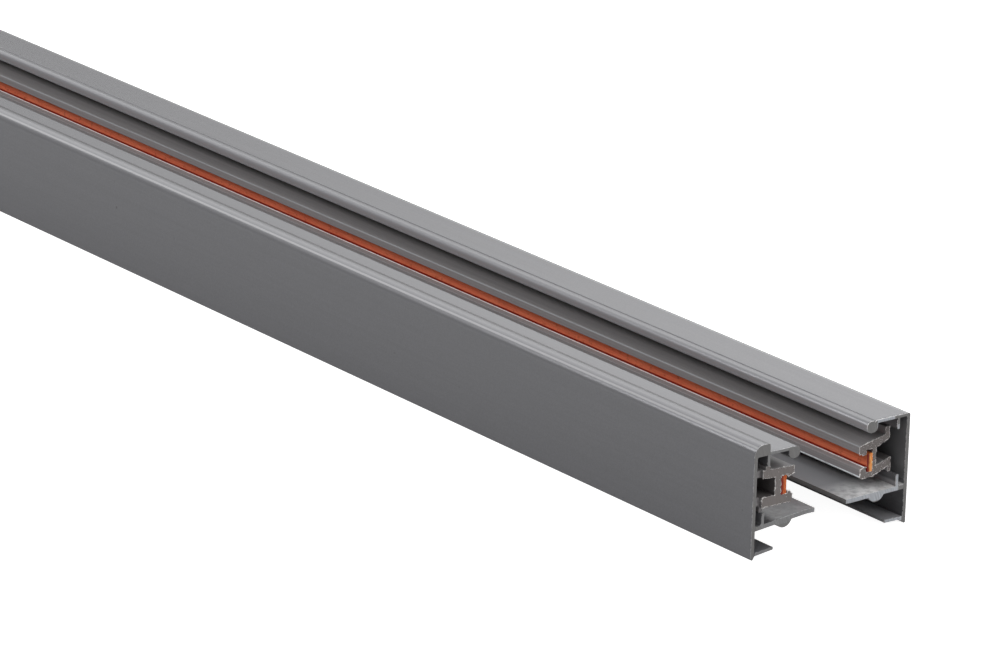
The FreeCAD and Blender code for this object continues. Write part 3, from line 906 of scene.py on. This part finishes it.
for side in ("bead", "flush"):
    node = f"{side}_side_insulator"
    low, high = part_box(node)
    section = cross_section(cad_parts[node], AWAY_FROM_ENDS)
    if side == "bead":
        section = without_foot(section)
    strip = outline_object(
        f"{side}_side_strip",
        section,
        edge_round=0.07 * MM,
        arc_round=0.3 * MM,
        longest_arc_side=0.5 * MM,
    )
    plastic = grey_plastic(
        f"{side}_side_plastic", low[0], high[0], FLASH_AND_HIGHLIGHTS[side], SHADED_HOLLOW[side]
    )
    sizes = {
        "Start": low[0],
        "End": high[0],
        "Burr Thickness": 0.15 * MM,
        "Burr Share": 0.6,
        "Crumbs": CRUMBS_PER_SQUARE_METRE[side],
        "Crumb Size": 0.08 * MM,
        "Finish": plastic,
    }
    shape(strip, STRIP_TREE, sizes)
    if side == "bead":
        sizes.update({"Start": low[0] + SET_BACK, "End": high[0] - SET_BACK, "Crumbs": 0.0})
        broken = []
        for corners in BROKEN_PARTS:
            outline = [Vector(corner) * MM for corner in corners]
            part = outline_object("broken part", outline, edge_round=0.1 * MM)
            shape(part, STRIP_TREE, sizes)
            broken.append(part)
        weld_into(strip, broken)
    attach(strip, "root")
    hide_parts(node)


# Conductors: flat bars of bare copper, rolled and slid into the insulators' grooves. Their
# faces are streaked by the rolls and brighter along the top, with painted shade in dark red
# along the bottom, and their sawn ends are bright with painted shade along one edge.

def bare_copper(name, back_end, front_end, end_shade_edge, groove, sawn_colours):
    """Rolled copper, slightly dulled, seen between the two edges of its groove."""
    groove_bottom, groove_top = groove
    material, tree, shader, where = new_material(name)
    sizes = {"Line Width": 0.22 * MM, "Line Length": 9 * MM}
    streaks = effect(tree, LONG_STREAKS, where, sizes)
    sizes = {"Back End": back_end, "Front End": front_end, "Chip Depth": 0.3 * MM}
    ends = effect(tree, SAWN_ENDS, where, {"Facing": surface_facing(tree), **sizes})
    _, across, up = place(tree, "ShaderNodeSeparateXYZ", {0: where}).outputs
    rolled = blend(tree, streaks["Streaks"], colour(232, 108, 72), colour(248, 140, 98))
    patches = spread(tree, noise(tree, where, 40.0, 6.0, 0.7), 0.4, 0.6)
    dullness = spread(tree, patches, 0.0, 1.0, 0.0, 0.3)
    dulled = blend(tree, dullness, rolled, colour(180, 66, 40))
    specks = spread(tree, noise(tree, where, 900.0, 2.0, 0.6), 0.58, 0.66, 0.0, 0.3)
    specked = blend(tree, specks, dulled, colour(120, 44, 28))

    # Brighter along the upper edge of the groove that shows it, and painted shade in dark red
    # along the lower one.
    top_brightening = spread(tree, up, groove_top - 0.9 * MM, groove_top, 0.0, 0.6)
    top_brightened = blend(tree, top_brightening, specked, colour(255, 150, 78))
    painted_gap_shade = spread(tree, up, groove_bottom + 0.08 * MM, groove_bottom + 0.26 * MM, 0.95, 0.0)
    gap_shaded = blend(tree, painted_gap_shade, top_brightened, colour(148, 16, 2))

    # Painted shade in dark red along one edge of the sawn ends.
    sawn = blend(tree, ends["Marks"], *sawn_colours)
    ragged = noise(tree, where, 1500.0, 3.0)
    uneven = reckon(tree, "MULTIPLY_ADD", ragged, 0.6 * MM, across)
    full, none = end_shade_edge + 0.2 * MM, end_shade_edge + 0.7 * MM
    end_shade = spread(tree, uneven, full, none, 1.0, 0.0)
    end_shaded = blend(tree, end_shade, sawn, colour(132, 34, 18))
    bright = reckon(tree, "MAXIMUM", ends["Cut"], ends["Rim"])
    tree.links.new(blend(tree, bright, gap_shaded, end_shaded), shader.inputs["Base Color"])
    shader.inputs["Metallic"].default_value = 0.35
    tree.links.new(spread(tree, patches, 0.0, 1.0, 0.34, 0.52), shader.inputs["Roughness"])
    feeds = {"Strength": 0.4, "Distance": 0.02 * MM, "Height": streaks["Streaks"]}
    bump = place(tree, "ShaderNodeBump", feeds)
    tree.links.new(bump.outputs[0], shader.inputs["Normal"])
    return material


# Heights of the groove's two edges, between which the copper shows, and the two colours
# of the saw's marks on its ends.
GROOVE_EDGES = {"bead": (11.2 * MM, 13.9 * MM), "flush": (11.05 * MM, 13.3 * MM)}
SAWN_COPPER = {
    "bead": (colour(184, 66, 22), colour(236, 136, 72)),
    "flush": (colour(255, 122, 42), colour(255, 214, 134)),
}
# Width of the painted shade along one edge of each sawn end.
END_SHADE_WIDTH = 0.35 * MM

for side in ("bead", "flush"):
    node = f"{side}_side_conductor"
    low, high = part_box(node)
    section = cross_section(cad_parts[node], AWAY_FROM_ENDS)
    bar = outline_object(f"{side}_side_bar", section, edge_round=0.05 * MM)
    copper = bare_copper(
        f"{side}_side_copper",
        low[0],
        high[0],
        low[1] + END_SHADE_WIDTH,
        GROOVE_EDGES[side],
        SAWN_COPPER[side],
    )
    sizes = {
        "Start": low[0],
        "End": high[0],
        "Burr Thickness": 0.04 * MM,
        "Burr Share": 0.5,
        "Crumbs": 2e6,
        "Crumb Size": 0.06 * MM,
        "Finish": copper,
    }
    shape(bar, STRIP_TREE, sizes)
    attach(bar, "root")
    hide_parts(node)


# Setting: a pale floor and white surroundings. A large soft panel lights the track from
# behind, weaker lamps stand before, beside and behind it, and a small one hangs overhead.
# The camera has a long focal length and looks down a little on the end of the track.

FLOOR_SHADE = (0.5, 0.5, 0.5, 1)
FLOOR_WHITE = 0.95
SKY_LIGHT = 0.33
SEEN_IN_GLOSS = 0.05


def pale_floor():
    """A flat floor that looks white to the camera and still takes the track's shadow."""
    half = 4.0
    corners = [(-half, -half, 0), (half, -half, 0), (half, half, 0), (-half, half, 0)]
    mesh = bpy.data.meshes.new("floor")
    mesh.from_pydata(corners, [], [(0, 1, 2, 3)])
    floor = bpy.data.objects.new("floor", mesh)
    bpy.context.collection.objects.link(floor)
    material, tree, shader, _ = new_material("pale_floor")
    shader.inputs["Base Color"].default_value = FLOOR_SHADE
    shader.inputs["Roughness"].default_value = 0.9
    shader.inputs["Emission Color"].default_value = (1, 1, 1, 1)
    rays = place(tree, "ShaderNodeLightPath").outputs
    in_gloss = reckon(tree, "MULTIPLY", rays["Is Glossy Ray"], SEEN_IN_GLOSS)
    shown = reckon(tree, "MAXIMUM", rays["Is Camera Ray"], in_gloss)
    white = reckon(tree, "MULTIPLY", shown, FLOOR_WHITE)
    tree.links.new(white, shader.inputs["Emission Strength"])
    mesh.materials.append(material)


def soft_lamp(name, stand, aim, size, power):
    """A rectangular lamp that stands in one place and points at another."""
    data = bpy.data.lights.new(name, "AREA")
    data.shape = "RECTANGLE"
    data.size, data.size_y = size
    data.energy = power
    lamp = bpy.data.objects.new(name, data)
    lamp.location = stand
    lamp.rotation_euler = (Vector(aim) - Vector(stand)).to_track_quat("-Z", "Y").to_euler()
    bpy.context.collection.objects.link(lamp)


pale_floor()
world = bpy.data.worlds.new("surroundings")
world.use_nodes = True
bpy.context.scene.world = world
sky = world.node_tree
background = sky.nodes["Background"]
background.inputs["Color"].default_value = (1, 1, 1, 1)
rays = place(sky, "ShaderNodeLightPath").outputs
seen = reckon(sky, "MAXIMUM", rays["Is Camera Ray"], rays["Is Transmission Ray"])
in_gloss = reckon(sky, "MULTIPLY", rays["Is Glossy Ray"], SEEN_IN_GLOSS)
shown = reckon(sky, "MAXIMUM", seen, in_gloss)
brightness = spread(sky, shown, 0.0, 1.0, SKY_LIGHT, 1.0)
sky.links.new(brightness, background.inputs["Strength"])

soft_lamp("overhead", (0.42, -0.12, 0.6), (0.15, 0, 0), (0.4, 0.4), 0.8)
soft_lamp("front_fill", (-0.42, -0.88, 0.7), (0, 0, 0), (0.6, 0.4), 7.4)
soft_lamp("back_panel", (-1.2, 0.38, 1.02), (0.1, 0, 0), (2.4, 1.0), 12.2)
soft_lamp("side_fill", (1.2, 0.4, 0.5), (0.2, 0, 0), (0.6, 0.6), 3.4)
soft_lamp("rear_fill", (0.1, 1.05, 0.6), (0.1, 0, 0), (0.8, 0.5), 4.0)

camera_data = bpy.data.cameras.new("camera")
camera_data.sensor_width = 36
camera_data.lens = 209.79
camera_data.clip_end = 20
camera = bpy.data.objects.new("camera", camera_data)
camera.location = (0.9651, -0.6247, 0.3513)
camera.rotation_euler = Euler((radians(71.6137), radians(-1.5061), radians(52.859)))
bpy.context.collection.objects.link(camera)
bpy.context.scene.camera = camera
bpy.context.scene.view_settings.view_transform = "Standard"
